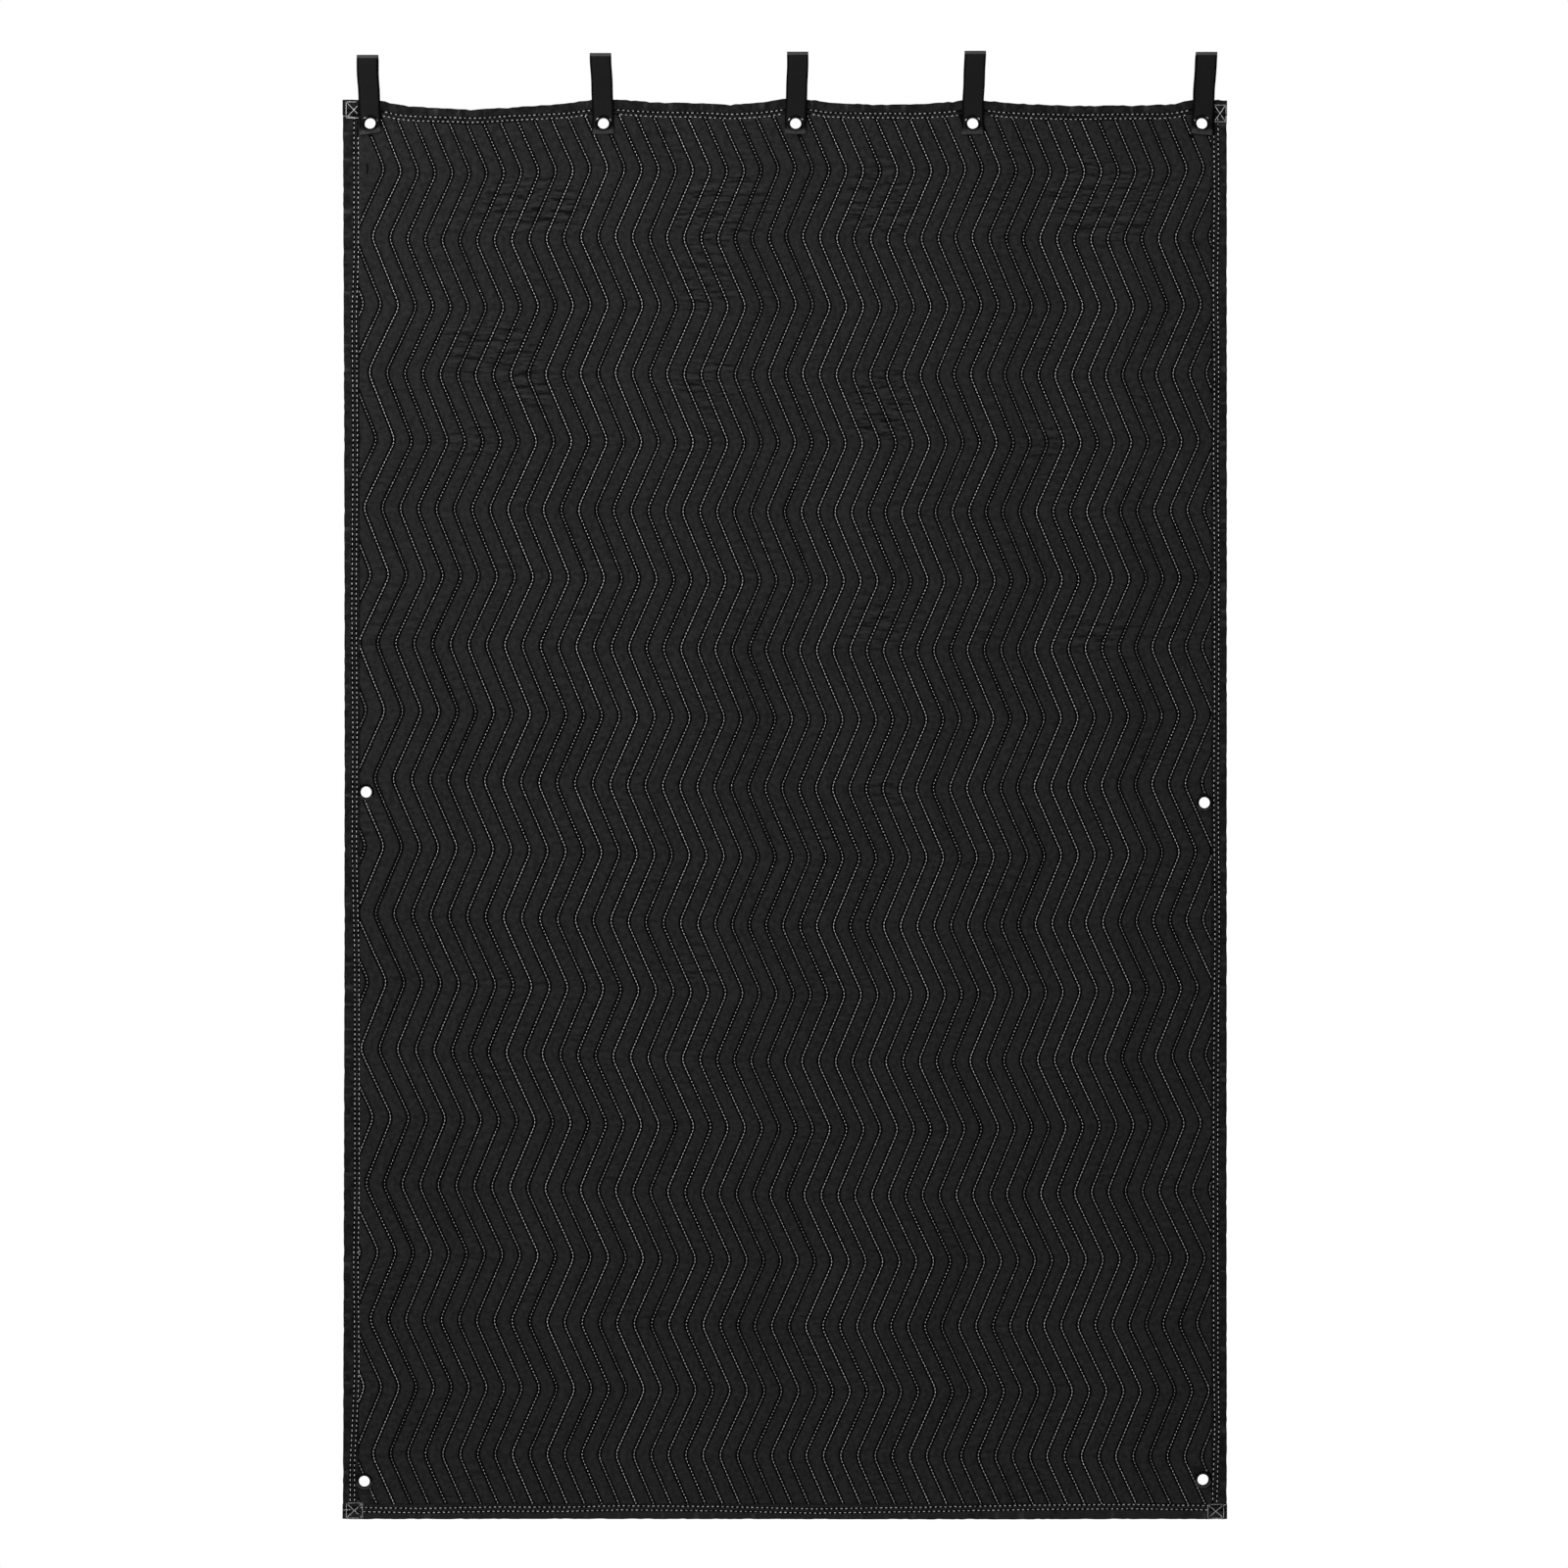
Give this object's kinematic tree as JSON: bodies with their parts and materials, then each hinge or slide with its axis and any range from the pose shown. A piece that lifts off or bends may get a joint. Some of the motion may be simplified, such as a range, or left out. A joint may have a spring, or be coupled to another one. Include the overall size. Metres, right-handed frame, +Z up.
{
  "type": "sound dampening blanket",
  "caption": "Quilted black sound dampening blanket with bound edges, hung flat from webbing tab loops, with metal eyelets through its tabs, sides and lower corners",
  "frame": {"origin": "On the hanging line under the crowns of the tabs, at the middle of the blanket's width", "axes": "+X is the viewer's right, the front faces -Y and +Z is up, away from the hem"},
  "size_m": [1.3216, 0.025, 2.1947],
  "materials": {
    "quilted_cloth": "matt black quilted cloth over batting",
    "binding_tape": "matt black woven binding tape",
    "webbing": "matt black webbing",
    "black_metal": "glossy black coated eyelet"
  },
  "bodies": {
    "root": {"pad_heading": "quilted_cloth", "pad_margin_left": "quilted_cloth", "pad_margin_right": "quilted_cloth", "pad_field": "quilted_cloth", "binding_left": "binding_tape", "binding_right": "binding_tape", "binding_top": "binding_tape", "binding_bottom": "binding_tape", "tab_1": "webbing", "tab_2": "webbing", "tab_3": "webbing", "tab_4": "webbing", "tab_5": "webbing", "eyelet_tab_1": "black_metal", "eyelet_tab_2": "black_metal", "eyelet_tab_3": "black_metal", "eyelet_tab_4": "black_metal", "eyelet_tab_5": "black_metal", "eyelet_left_middle": "black_metal", "eyelet_right_middle": "black_metal", "eyelet_left_lower": "black_metal", "eyelet_right_lower": "black_metal"}
  },
  "joints": []
}
